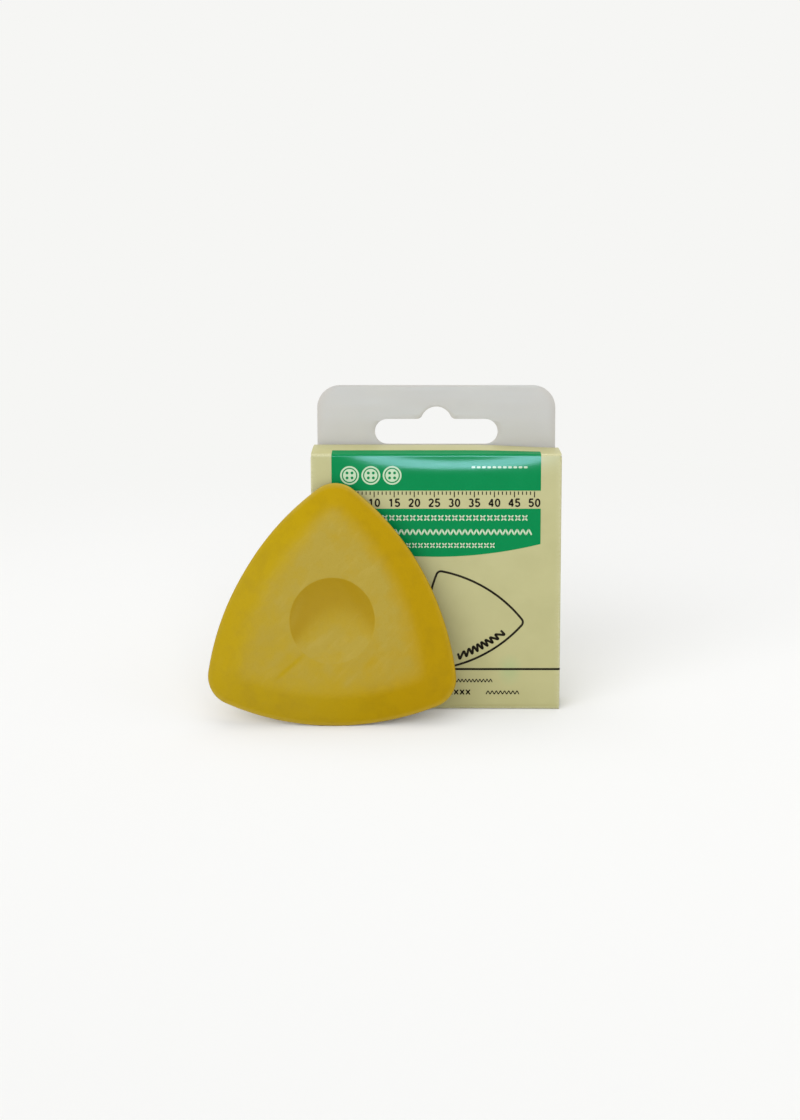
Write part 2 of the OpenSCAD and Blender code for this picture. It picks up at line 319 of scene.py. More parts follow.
@dataclass(frozen=True)
class TabPlastic:
    """Rolled PET sheet, grey and translucent, die-cut. It gives the eye satin faces with faint roll lines."""

    sheet: str = "#d1cec8"
    clouded: str = "#cecbc6"
    roll_mm: float = 0.7
    cloud_mm: float = 14.0

    def material(self) -> Material:
        """Builds the material.

        Returns:
            A satin sheet that lets some light through, with roll lines along its width.
        """
        material, tree, place = node_material("hang_tab_pet")
        rolled = add_node(tree, "Mapping", {"Vector": place, "Scale": (0.03, 1.0, 1.0)})
        lines = add_node(tree, "TexNoise", {"Vector": rolled, "Scale": per_mm(self.roll_mm), "Detail": 3.0})
        cloud = add_node(tree, "TexNoise", {"Vector": place, "Scale": per_mm(self.cloud_mm), "Detail": 2.0})
        cloud = add_node(tree, "MapRange", {0: cloud, 1: 0.35, 2: 0.65})
        roughness = add_node(tree, "MapRange", {0: lines, 1: 0.3, 2: 0.7, 3: 0.36, 4: 0.5})
        relief = add_node(tree, "Bump", {"Height": lines, "Strength": 0.2, "Distance": 0.01 * MM})
        colour = add_node(tree, "Mix", {0: cloud, 6: to_linear(self.sheet), 7: to_linear(self.clouded)}, 2,
                          data_type="RGBA")
        surface = add_node(tree, "BsdfPrincipled", {"Base Color": colour, "Roughness": roughness,
                                                    "Normal": relief, "Specular IOR Level": 0.05,
                                                    "IOR": 1.57, "Transmission Weight": 0.12})
        add_node(tree, "OutputMaterial", {"Surface": surface})
        return material


@dataclass(frozen=True)
class PressureAdhesive:
    """Acrylic adhesive film. It gives the eye a clear, slightly yellow patch, wetted out in places."""

    film: str = "#d9d6c4"
    dry: str = "#e6e4da"
    patch_mm: float = 2.5

    def material(self) -> Material:
        """Builds the material.

        Returns:
            A film that is dry and rougher in patches.
        """
        material, tree, place = node_material("pressure_adhesive")
        patch = add_node(tree, "TexNoise", {"Vector": place, "Scale": per_mm(self.patch_mm), "Detail": 4.0})
        dry = add_node(tree, "MapRange", {0: patch, 1: 0.42, 2: 0.58})
        roughness = add_node(tree, "MapRange", {0: dry, 3: 0.2, 4: 0.6})
        colour = add_node(tree, "Mix", {0: dry, 6: to_linear(self.film), 7: to_linear(self.dry)}, 2,
                          data_type="RGBA")
        surface = add_node(tree, "BsdfPrincipled", {"Base Color": colour, "Roughness": roughness,
                                                    "IOR": 1.47})
        add_node(tree, "OutputMaterial", {"Surface": surface})
        return material


# Meshes

def grid_quads(rows: int, cols: int, closed: bool = False) -> Grid:
    """Quads of a grid of points that are numbered row by row.

    Args:
        rows: Number of rows.
        cols: Number of points in a row.
        closed: Whether each row's last point joins its first.

    Returns:
        One row of four point numbers for each quad.
    """
    row = np.arange(rows - 1)[:, None] * cols
    col = np.arange(cols if closed else cols - 1)[None, :]
    after = (col + 1) % cols
    return np.stack([row + col, row + after, row + after + cols, row + col + cols], -1).reshape(-1, 4)


def outward_normals(grid: Grid) -> Grid:
    """Unit normals of a grid of points: along-the-row direction crossed with the row-to-row direction."""
    normal = np.cross(np.gradient(grid, axis=1), np.gradient(grid, axis=0))
    return normal / np.linalg.norm(normal, axis=-1, keepdims=True)


def smoothstep(value: Grid, low: float, high: float) -> Grid:
    """Rises from 0 at low to 1 at high as 3t squared minus 2t cubed."""
    t = np.clip((value - low) / (high - low), 0, 1)
    return t * t * (3 - 2 * t)


@dataclass
class Shell:
    """A closed mesh in millimetres, with a material number for each face and named values for each point."""

    points: Grid
    faces: list[Grid]
    finish: Grid
    values: dict[str, Grid] = field(default_factory=dict)

    @classmethod
    def sheet(cls, outer: Grid, thickness: float, **values: Grid) -> "Shell":
        """Gives a grid of surface points a wall behind it.

        The inner point is the outer point minus thickness times the surface normal, and a rim of quads joins
        the two grids' borders. Material 0 is the outer face, 1 the inner face and 2 the rim.

        Args:
            outer: Points of the outer surface, rows by columns by xyz.
            thickness: Wall thickness.
            **values: Values for each grid point, copied to the inner points.

        Returns:
            The closed shell.
        """
        rows, cols = outer.shape[:2]
        count = rows * cols
        inner = outer - outward_normals(outer) * thickness
        front = grid_quads(rows, cols)
        number = np.arange(count).reshape(rows, cols)
        border = np.concatenate([number[0, :-1], number[:-1, -1], number[-1, :0:-1], number[:0:-1, 0]])
        after = np.roll(border, -1)
        rim = np.stack([after, border, border + count, after + count], -1)
        finish = np.repeat([0, 1, 2], [len(front), len(front), len(rim)])
        doubled = {name: np.tile(np.broadcast_to(v, (rows, cols)).ravel(), 2) for name, v in values.items()}
        return cls(np.concatenate([outer.reshape(-1, 3), inner.reshape(-1, 3)]),
                   [np.concatenate([front, front[:, ::-1] + count, rim])], finish, doubled)

    @classmethod
    def joined(cls, shells: Sequence["Shell"]) -> "Shell":
        """Puts several shells into one mesh.

        Args:
            shells: Shells without named values.

        Returns:
            One shell that holds them all.
        """
        offsets = np.cumsum([0] + [len(s.points) for s in shells[:-1]])
        faces = [block + start for s, start in zip(shells, offsets) for block in s.faces]
        points, finish = (np.concatenate([getattr(s, part) for s in shells]) for part in ("points", "finish"))
        return cls(points, faces, finish)

    def moved(self, change: Callable[[Grid], Grid]) -> "Shell":
        """The same shell with change applied to its points."""
        return Shell(change(self.points), self.faces, self.finish, self.values)

    def volume(self) -> float:
        """Signed volume: the sum over triangles of a corner dotted with the others' cross product, over six.

        Returns:
            The volume, below zero where the faces point inwards.
        """
        total = 0.0
        for block in self.faces:
            fans = np.concatenate([block[:, [0, k, k + 1]] for k in range(1, block.shape[1] - 1)])
            a, b, c = (self.points[fans[:, k]] for k in range(3))
            total += float(np.einsum("ij,ij->", a, np.cross(b, c))) / 6
        return total

    def piece(self, name: str, materials: Sequence[Material], sharp_deg: float = 40) -> Piece:
        """Writes the shell to a Blender object at the origin, in metres.

        Args:
            name: Name of the object.
            materials: Materials in the order of the finish numbers, the last one for all that are higher.
            sharp_deg: Edges that bend more than this stay sharp.

        Returns:
            The object, with its faces pointing outwards.
        """
        turned = slice(None, None, -1) if self.volume() < 0 else slice(None)
        faces = [face for block in self.faces for face in block[:, turned].tolist()]
        mesh = bpy.data.meshes.new(name)
        mesh.from_pydata((self.points * MM).tolist(), [], faces)
        for material in materials:
            mesh.materials.append(material)
        finish = np.minimum(self.finish, len(materials) - 1)
        mesh.polygons.foreach_set("material_index", finish.astype(np.int32))
        for label, value in self.values.items():
            attribute = mesh.attributes.new(label, "FLOAT", "POINT")
            attribute.data.foreach_set("value", value.astype(np.float32))
        mesh.shade_smooth()
        mesh.set_sharp_from_angle(angle=math.radians(sharp_deg))
        mesh.update()
        piece = bpy.data.objects.new(name, mesh)
        bpy.context.scene.collection.objects.link(piece)
        log.info("%s: %d points, %d faces", name, len(mesh.vertices), len(mesh.polygons))
        return piece


def side_circle_ring(ring: float, corner_r: float, side_r: float) -> float:
    """Distance of the side circles' centres for sides that touch the corner circles."""
    return math.sqrt((side_r - corner_r) ** 2 - (ring * COS30) ** 2) - ring / 2


def bowed_outline(angle: Grid, ring: float, corner_r: float, side_ring: float, side_r: float) -> Grid:
    """Distance from the centre to a three-sided outline with round corners and bowed sides.

    Near a corner it is the far meeting of the ray with a circle of corner_r centred at distance ring on the
    corner's ray; elsewhere it is the meeting with a circle of side_r centred at side_ring beyond the centre.

    Args:
        angle: Directions in degrees, clockwise from a corner.
        ring: Distance of the corner circles' centres.
        corner_r: Radius of the corners.
        side_ring: Distance of the side circles' centres, on the far side of the centre.
        side_r: Radius of the sides.

    Returns:
        The distance for each direction.
    """
    fold = np.abs(angle - 120 * np.round(angle / 120))
    across, along = side_ring * COS30, ring + side_ring / 2
    reach = side_r / math.hypot(along, across)
    end = math.degrees(math.atan2(across * (reach - 1), along * reach - side_ring / 2))
    a, b = np.radians(fold), np.radians(60 - fold)
    corner = ring * np.cos(a) + np.sqrt(np.maximum(0, corner_r ** 2 - (ring * np.sin(a)) ** 2))
    side = -side_ring * np.cos(b) + np.sqrt(side_r ** 2 - (side_ring * np.sin(b)) ** 2)
    return np.where(fold < end, corner, side)


# The chalk

@dataclass
class ChalkTablet:
    """Rounded triangular chalk: flat faces with a thumb dish, a soft shoulder and a bevel to a thin edge."""

    width: float = 61.0
    thickness: float = 6.6
    corner_r: float = 7.2
    side_r: float = 68.0
    bevel: float = 9.0
    face_corner_r: float = 2.6
    shoulder: float = 2.4
    edge_r: float = 0.45
    edge_wear: float = 0.05
    dish_r: float = 10.5
    dish_depth: float = 1.1
    dish_power: float = 2.8
    dish_lip: float = 0.24
    dish_up: float = 0.7
    wave: float = 0.02
    lean_deg: float = 9.0
    roll_deg: float = 0.8
    directions: int = 420
    # distance in from the edge at which the film of dust starts, and over which it thickens
    film_start: float = 5.4
    film_rise: float = 6.4
    # strokes where it was handled: middle across and up, direction in degrees, length, width, dust gained
    scuffs: tuple[tuple[float, ...], ...] = (
        (-10.0, -10.6, 42, 4.6, 0.55, -0.6), (-12.6, -8.2, 40, 5.0, 1.1, 0.3),
        (-0.6, -9.4, 86, 3.0, 1.5, 0.35), (6.0, -12.6, 38, 4.5, 0.7, 0.2), (9.5, -9.2, 50, 2.4, 0.6, -0.3),
        (-3.5, 13.4, 20, 3.2, 1.6, 0.3), (4.4, 8.6, -58, 3.6, 0.8, -0.28), (-8.8, 2.4, 70, 4.2, 0.9, 0.25),
        (12.4, -3.4, -70, 3.8, 1.0, 0.2))

    @property
    def angle(self) -> Grid:
        """Directions in degrees, clockwise from the upper corner."""
        return np.arange(self.directions) * 360 / self.directions

    def inset_height(self, inset: Grid) -> Grid:
        """Half thickness at a distance in from the outline.

        A quarter circle of edge_r, then a straight slope, then a parabola, level at the bevel's width.

        Args:
            inset: Distance in from the outline, towards the centre.

        Returns:
            Height above the middle plane.
        """
        half = self.thickness / 2
        slope = (half - self.edge_r) / (self.bevel - self.edge_r - self.shoulder / 2)
        on_edge = np.sqrt(np.maximum(0, self.edge_r ** 2 - np.maximum(0, self.edge_r - inset) ** 2))
        on_slope = self.edge_r + slope * (inset - self.edge_r)
        left = np.maximum(0, self.bevel - inset)
        on_shoulder = half - slope * left ** 2 / self.shoulder / 2
        return np.where(inset < self.edge_r, on_edge, np.where(left > self.shoulder, on_slope, on_shoulder))

    def rings(self) -> tuple[Grid, Grid, Grid]:
        """Rings of points on one face, from the dish's middle to the marking edge.

        The dish falls by its depth times 1 minus a power of the radius. From its lip the rings turn evenly
        into the flat's outline, and from there, by their share of the bevel's width, into the edge's.

        Returns:
            Distance from the middle, half thickness and distance in from the edge, rings by directions.
        """
        ring = (self.width / 2 - self.corner_r) / COS30
        side_ring = side_circle_ring(ring, self.corner_r, self.side_r)
        face_side_r = self.side_r - self.bevel
        face_reach = face_side_r - self.face_corner_r
        face_ring = math.sqrt(face_reach ** 2 - (side_ring * COS30) ** 2) - side_ring / 2
        plateau = bowed_outline(self.angle, face_ring, self.face_corner_r, side_ring, face_side_r)
        outline = bowed_outline(self.angle, ring, self.corner_r, side_ring, self.side_r)
        # the marking edge has worn a little out of true
        turn = np.radians(self.angle)
        outline -= self.edge_wear * (1 + np.sin(5 * turn + 0.6)) * (0.5 + 0.5 * np.cos(2 * turn + 2.0))

        dish = np.linspace(0.04, 1, 19) * (self.dish_r - self.dish_lip)
        lip = self.dish_r + self.dish_lip * np.array([-0.4, 0.1, 0.6])
        sag = np.concatenate([1 - (dish / self.dish_r) ** self.dish_power, [0.034, 0.010, 0.0]])
        core = np.concatenate([dish, lip])
        flat = np.linspace(0, 1, 25)[1:]
        insets = np.concatenate([
            self.bevel - self.shoulder * np.linspace(0, 1, 9)[1:] ** 0.9,
            self.edge_r + (self.bevel - self.shoulder - self.edge_r) * np.linspace(1, 0, 9)[1:],
            self.edge_r * (1 - np.cos(np.radians([72, 54, 36, 18, 0])))])
        level = self.thickness / 2
        height = np.concatenate([level - self.dish_depth * sag, np.full(len(flat), level),
                                 self.inset_height(insets)])
        across = np.ones_like(turn)
        radius = np.concatenate([core[:, None] * across, lip[-1] + (plateau - lip[-1]) * flat[:, None],
                                 outline + (plateau - outline) * insets[:, None] / self.bevel])
        far_in = np.full((len(core), 1), self.width / 2)
        inset = np.concatenate([far_in * across, self.bevel + (plateau - lip[-1]) * (1 - flat[:, None]),
                                insets[:, None] * across])
        return radius, height[:, None] * across, inset

    def handled(self, x: Grid, z: Grid, radius: Grid, inset: Grid) -> dict[str, Grid]:
        """What the user's hands left on one face, with painted light and shade.

        The film of dust rises from the bevel to the flat; in the dish the dust value is painted light, paler
        below a parabola. Each scuff adds its gain times the exponential of minus the fourth power along it and
        minus the square across it.

        Args:
            x: Points across the face.
            z: Points up the face.
            radius: Distance from the middle.
            inset: Distance in from the edge.

        Returns:
            Dust, with painted light in the dish; painted shade towards the right; painted shade in the dish's
            upper part and sides; and wear of the edge, each from 0 to 1.
        """
        in_dish = 1 - smoothstep(radius, self.dish_r - self.dish_lip, self.dish_r + 0.05)
        # the film starts nearer the edge towards the top corner, is thicker there, and is rubbed at the left
        start = self.film_start - 0.055 * (z + 5) + 0.02 * x
        film = smoothstep(inset, start, start + self.film_rise) * (0.62 + 0.38 * smoothstep(z, -12, 12))
        film = film + 0.16 * smoothstep(-x - 0.4 * z, -6, 22) * (1 - film)
        film = film * (1 - 0.22 * smoothstep(-x, 5, 13))
        # painted light: the dish is paler low in its middle, below a parabola, where light from above falls,
        # over a little dust; above it the dish gets painted shade
        low = smoothstep(0.3 * x - z - 0.07 * x * x, -6.2, 2.6)
        dust = film * (1 - in_dish) + in_dish * (0.06 + low * (0.68 + 0.32 * smoothstep(-z, 0, 8)))
        for across_mm, up_mm, lean_deg, length, breadth, gain in self.scuffs:
            way = math.radians(lean_deg)
            u = (x - across_mm) * math.cos(way) + (z - up_mm) * math.sin(way)
            v = (z - up_mm) * math.cos(way) - (x - across_mm) * math.sin(way)
            dust = dust + gain * np.exp(-(u / length) ** 4 - (v / breadth) ** 2)
        # the edge is worn pale at the corners and less along the sides
        wear = (1 - smoothstep(inset, 0.1, 0.8)) * (0.3 + 0.7 * smoothstep(np.abs(z - 4), 18.0, 26.0))
        # painted shade: the body darker towards the right, in place of the shade that light from the left
        # leaves there
        return {"dust": np.clip(dust, 0, 1), "warm": smoothstep(x + 0.3 * z, -12, 22),
                "punch": in_dish * (1 - low), "wear": wear}

    def shell(self) -> Shell:
        """Closes the two faces' rings over the edge and with a fan of triangles in each dish.

        Returns:
            The tablet in its own frame, its front towards -Y and a corner up, with what handling left on it.
        """
        radius, height, inset = self.rings()
        turn = np.radians(self.angle)
        x, z = radius * np.sin(turn), radius * np.cos(turn)
        # the dish was punched a little above the middle
        z = z + self.dish_up * (1 - smoothstep(radius, self.dish_r + 0.4, self.dish_r + 6.0))
        # the pressed flats are never quite flat: three slow waves, at most 0.05 mm
        wave = (np.sin(0.21 * x + 0.9) + np.sin(0.17 * z - 0.4) * np.cos(0.11 * x)
                + 0.5 * np.sin(0.3 * (x + z)))
        wave = self.wave * wave * smoothstep(inset, 0.5, self.bevel)
        front = np.stack([x, -(height + wave), z], -1)
        back = np.stack([x, height + wave * 0.5, z], -1)[-2::-1]
        grid = np.concatenate([front, back])
        poles = np.array([[0, end[:, 1].mean(), self.dish_up] for end in (front[0], back[-1])])
        rows, around = len(grid), np.arange(self.directions)
        count = rows * self.directions
        after, last = np.roll(around, -1), count - self.directions
        fans = np.concatenate([np.stack([around, after, np.full_like(around, count)], -1),
                               np.stack([after + last, around + last, np.full_like(around, count + 1)], -1)])
        quads = grid_quads(rows, self.directions, closed=True)[:, ::-1]
        # the two poles take half of each value, and no wear
        values = {name: np.concatenate([value.ravel(), value[-2::-1].ravel(),
                                        np.full(2, 0.0 if name == "wear" else 0.5)])
                  for name, value in self.handled(x, z, radius, inset).items()}
        return Shell(np.concatenate([grid.reshape(-1, 3), poles]), [quads, fans],
                     np.zeros(len(quads) + len(fans), int), values)

    def build(self) -> Piece:
        """Makes the chalk piece, rolled clockwise, leaned back and put where its CAD node stands.

        Returns:
            The piece, riding on the chalk's body.
        """
        low, high = (np.array(corner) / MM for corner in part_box("chalk_tablet"))
        turn = Euler((-math.radians(self.lean_deg), 0, 0)).to_matrix() @ Euler(
            (0, math.radians(self.roll_deg), 0)).to_matrix()
        stood = self.shell().moved(lambda points: points @ np.array(turn).T)
        shift = (low + high) / 2 - (stood.points.min(0) + stood.points.max(0)) / 2
        shift[2] = low[2] - stood.points[:, 2].min()
        piece = stood.moved(lambda points: points + shift).piece(
            "chalk_tablet_pressed", [PressedChalk().material()])
        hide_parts("chalk_tablet")
        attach(piece, "chalk")
        return piece


# The carton

class End(Enum):
    """The carton's two closing ends."""

    TOP = "top"
    BOTTOM = "bottom"


class Side(Enum):
    """The carton's two side panels."""

    LEFT = "left"
    RIGHT = "right"


def board_finishes() -> list[Material]:
    """Materials of the board's outside, inside and cut edges, in the order of a sheet's finish numbers."""
    return [CoatedBoard().material(), BareBoard("bare_board_back", "#c9c5b6", "#98917f").material(),
            BareBoard("board_cut_edge", "#d5d2bd", "#a8a28c", 0.25).material()]


@dataclass
class Carton:
    """Tuck-end carton folded from one sheet of boxboard, glued inside its left side."""

    width: float = 62.6
    depth: float = 10.2
    height: float = 65.6
    board: float = 0.4
    thinned: float = 0.98
    play: float = 0.06
    upright_r: float = 0.5
    fold_r: float = 0.6
    side_top: float = 64.68
    flap_fold: float = 64.0
    lid_fold: float = 64.3
    lid_half: float = 31.2
    lid_root_half: float = 30.75
    lid_end: float = 3.0
    fold_reach: float = 0.85
    crease_r: float = 0.45
    crease_y: float = 3.8
    crease_bend: float = 0.8
    tongue_back: float = 4.2
    tongue_len: float = 5.5
    tongue_half: float = 30.2
    tongue_corner_r: float = 3.5
    tongue_lean_deg: float = 9.0
    flap_front: float = -4.5
    flap_back: float = 3.1
    flap_len: float = 14.0
    flap_front_slope: float = 0.26
    flap_back_slope: float = 0.08
    flap_corner_r: float = 1.4
    slit: float = 0.05
    glue_reach: float = 8.0
    glue_inset: float = 6.5
    glue_taper: float = 2.5
    retreat: float = 0.5
    retreat_from: float = 60.0
    retreat_rise: float = 5.0
    retreat_fade: float = 4.0
    retreat_middle: float = 4.5
    retreat_half: float = 31.0
    # the sprung lid: rise at its crease, share that is lost at the right, where that starts, and a low sine
    lid_lift: float = 1.1
    lid_settled: float = 0.7
    lid_settled_from: float = 8.0
    lid_sine: float = 0.25
    finishes: list[Material] = field(default_factory=board_finishes)

    @property
    def front(self) -> float:
        """Y of the front panel's outer face."""
        return -self.depth / 2

    @property
    def under_lid(self) -> float:
        """Height of what closes under the lid: a board and a little play below the top."""
        return self.height - self.board - self.play

    @property
    def fold_arc(self) -> float:
        """Length of the quarter circle that the front panel's fold takes."""
        return self.fold_r * QUARTER

    @property
    def fold_span(self) -> tuple[tuple[float, ...], ...]:
        """Where the front panel's fold starts and stops bending."""
        return (0, self.front, self.height - self.fold_reach), (0, self.front + self.fold_reach, self.height)

    def front_retreat(self, x: Grid, z: Grid) -> Grid:
        """How far the front panel draws back below its top fold.

        It grows with the square of the height above retreat_from and fades with the square of the distance
        from a line near the panel's middle.

        Args:
            x: Positions across the panel.
            z: Heights.

        Returns:
            Distance towards the back.
        """
        across = np.clip(1 - ((x - self.retreat_middle) / self.retreat_half) ** 2, 0, 1)
        return self.retreat * across * np.clip((z - self.retreat_from) / self.retreat_rise, 0, 1) ** 2

    def front_points(self, x: Grid, z: Grid) -> Grid:
        """Points of the front panel's outer face."""
        x, z = np.broadcast_arrays(x, z)
        return np.stack([x, self.front + self.front_retreat(x, z), z], -1)

    def lid_rise(self, x: Grid, y: Grid, lift: float) -> Grid:
        """How far the sprung lid stands up: a slope towards the crease plus a low sine, less on the right.

        Args:
            x: Positions across the lid.
            y: Positions from front to back.
            lift: Rise at the crease.

        Returns:
            The rise.
        """
        hinge = self.front + self.fold_r
        share = np.clip((y - hinge) / (self.crease_y - hinge), 0, 1)
        left = 1 - self.lid_settled * smoothstep(x, self.lid_settled_from, self.retreat_half)
        return lift * left * (share + self.lid_sine * np.sin(math.pi * share))

    def end_points(self, x: Grid, run: Grid, lift: float) -> Grid:
        """Points of the outer face of the front panel, its upper fold and the lid, as one surface.

        run is the distance along the face from the start of the fold: up the front panel where it is
        negative, round a quarter circle of fold_r, then back over the lid.

        Args:
            x: Positions across the carton.
            run: Distances along the face.
            lift: The lid's rise at its crease.

        Returns:
            The points.
        """
        x, run = np.broadcast_arrays(x, run)
        start = self.height - self.fold_r
        turn = np.clip(run, 0, self.fold_arc) / self.fold_r
        past = np.maximum(0, run - self.fold_arc)
        drawn = self.front_retreat(x, np.minimum(start + run, start))
        drawn = drawn * (1 - smoothstep(past, 0, self.retreat_fade))
        y = self.front + drawn + self.fold_r * (1 - np.cos(turn)) + past
        z = start + np.minimum(run, 0) + self.fold_r * np.sin(turn)
        return np.stack([x, y, z + self.lid_rise(x, self.front + self.fold_r + past, lift)], -1)

    def wrap_path(self) -> tuple[Grid, Grid]:
        """The carton from above: along the left side, the front, the right side, the back and the glue flap.

        Straight runs are joined by quarter circles of upright_r. Where a lid or a flap is cut free, the top
        drops to its fold.

        Returns:
            Points of the outer face, and the height of the top at each.
        """
        half, rear, r, gap = self.width / 2, self.depth / 2, self.upright_r, self.slit
        side, fold, lid, level = self.side_top, self.flap_fold, self.lid_fold, self.under_lid
        glued = self.height - self.glue_inset
        inner = self.board + 0.01 - half

        def corner(x: float, y: float, first: float, tops: tuple[float, float]) -> Grid:
            """The seven inner points of a quarter circle round x and y that starts in the first direction."""
            turn = np.radians(np.linspace(first, first + 90, 9)[1:-1])
            return np.stack([x + r * np.cos(turn), y + r * np.sin(turn), np.linspace(*tops, 9)[1:-1]], -1)

        path = np.concatenate([
            np.linspace((-half, rear - 0.1, side), (-half, self.flap_back + gap, side), 3),
            np.linspace((-half, self.flap_back, fold), (-half, self.flap_front, fold), 8),
            np.linspace((-half, self.flap_front - gap, side), (-half, r - rear, side), 2),
            corner(r - half, r - rear, 180, (side, level)),
            np.linspace((r - half, -rear, level), (-self.lid_root_half - gap, -rear, level), 2),
            np.linspace((-self.lid_root_half, -rear, lid), (self.lid_root_half, -rear, lid), 61),
            np.linspace((self.lid_root_half + gap, -rear, level), (half - r, -rear, level), 2),
            corner(half - r, r - rear, 270, (level, side)),
            np.linspace((half, r - rear, side), (half, self.flap_front - gap, side), 2),
            np.linspace((half, self.flap_front, fold), (half, self.flap_back, fold), 8),
            np.linspace((half, self.flap_back + gap, side), (half, rear - r, side), 3),
            corner(half - r, rear - r, 0, (side, self.height)),
            np.linspace((half - r, rear, self.height), (inner + r + 0.3, rear, self.height), 40),
            corner(inner + r, rear - r, 90, (self.height, glued)),
            np.linspace((inner, rear - r - 0.1, glued),
                        (inner, rear - self.board - self.glue_reach, glued - self.glue_taper), 6)])
        return path[:, :2], path[:, 2]

    def wrap(self) -> Piece:
        """The four panels and the glue flap as one folded sheet.

        Each column stands on the path seen from above and runs from the lower cut to the upper cut, with its
        rows closer together near the ends, where the front panel curves.

        Returns:
            The piece, riding on the carton's body.
        """
        plan, tops = self.wrap_path()
        share = np.concatenate([np.linspace(0, 0.09, 10), np.linspace(0.1, 0.9, 17),
                                np.linspace(0.91, 1, 12)])
        z = (self.height - tops) + (2 * tops - self.height) * share[:, None]
        x, y = (np.broadcast_to(values, z.shape) for values in plan.T)
        drawn = self.front_retreat(x, z) * (np.abs(y - self.front) < 1e-6)
        # the coating is cracked on the upright folds and less and less up to 0.75 mm beside them
        from_side, from_face = self.width / 2 - np.abs(x), self.depth / 2 - np.abs(y + drawn)
        crease = (1 - smoothstep(np.maximum(from_side, from_face), 0.15, 0.75)) * (
            np.minimum(from_side, from_face) < self.fold_r)
        piece = Shell.sheet(np.stack([x, y + drawn, z], -1), self.board, crease=crease).piece(
            "carton_wrap", self.finishes)
        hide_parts("carton_sleeve")
        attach(piece, "carton")
        return piece

    def hinged(self, node: str, bodies: tuple[str, str], sheet: Shell,
               end: End, side: Side = Side.LEFT) -> Piece:
        """Puts a panel that was worked out for the upper left at its own end and side.

        Args:
            node: The CAD node that it replaces.
            bodies: The bodies before and after the fold. The piece is named for the second.
            sheet: The panel at the upper left.
            end: The end that it belongs to.
            side: The side that it belongs to.

        Returns:
            The piece.
        """
        signs = np.array([-1 if side is Side.RIGHT else 1, 1, -1 if end is End.BOTTOM else 1])
        offset = np.array([0, 0, self.height if end is End.BOTTOM else 0])
        piece = sheet.moved(lambda points: points * signs + offset).piece(f"{bodies[1]}_board", self.finishes)
        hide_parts(node)
        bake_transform(piece)
        return piece

    def lid(self, end: End, lift: float) -> Piece:
        """The fold and the lid panel.

        Args:
            end: Which end it closes.
            lift: The lid's rise at its crease.

        Returns:
            The piece.
        """
        arc = self.fold_arc
        run = np.concatenate([np.linspace(self.lid_fold - self.height + self.fold_r, 0, 7)[:-1],
                              np.linspace(0, arc, 13)[:-1],
                              np.linspace(arc, arc + self.lid_end - self.front - self.fold_r, 22)])
        half = self.lid_root_half + (self.lid_half - self.lid_root_half) * smoothstep(run, -0.3, arc * 0.5)
        outer = self.end_points(np.linspace(-1, 1, 61) * half[:, None], run[:, None], lift)
        crease = np.exp(-((run - arc / 2) / self.crease_r) ** 2)[:, None]
        name = f"{end.value}_lid"
        return self.hinged(name, ("carton", name), Shell.sheet(outer, self.board, crease=crease),
                           end)

    def tongue(self, end: End, lift: float) -> Piece:
        """The tuck tongue with its crease, from the lid's free end round and down inside the back panel.

        Its free corners are quarter circles of tongue_corner_r.

        Args:
            end: Which end it closes.
            lift: The lid's rise at its crease.

        Returns:
            The piece.
        """
        lean, r, round_r = math.radians(self.tongue_lean_deg), self.crease_r, self.tongue_corner_r
        flat = np.linspace((self.lid_end, self.height), (self.tongue_back - r, self.height), 4)
        turn = np.linspace(0, QUARTER + lean, 12)[1:]
        bend = np.stack([self.tongue_back - r + r * np.sin(turn), self.height - r + r * np.cos(turn)], -1)
        down = np.linspace(0, self.tongue_len - r, 22)[1:, None]
        profile = np.concatenate([flat, bend, bend[-1] - down * np.array([math.sin(lean), math.cos(lean)])])
        row = np.arange(len(profile))
        left = np.concatenate([np.full(len(flat) + len(bend), np.inf), self.tongue_len - r - down[:, 0]])
        round_off = round_r - np.sqrt(np.maximum(0, round_r ** 2 - np.maximum(0, round_r - left) ** 2))
        half = np.where(row < len(flat), self.lid_half, self.tongue_half) - round_off
        x = np.linspace(-1, 1, 61) * half[:, None]
        y = np.broadcast_to(profile[:, :1], x.shape)
        rise = self.lid_rise(x, np.where(row < len(flat), profile[:, 0], self.crease_y)[:, None], lift)
        sheet = Shell.sheet(np.stack([x, y, profile[:, 1:] + rise], -1), self.board * self.thinned,
                            crease=np.exp(-((row - 9) / 3.0) ** 2)[:, None])
        return self.hinged(f"{end.value}_tuck_tongue", (f"{end.value}_lid", f"{end.value}_tongue"), sheet,
                           end)

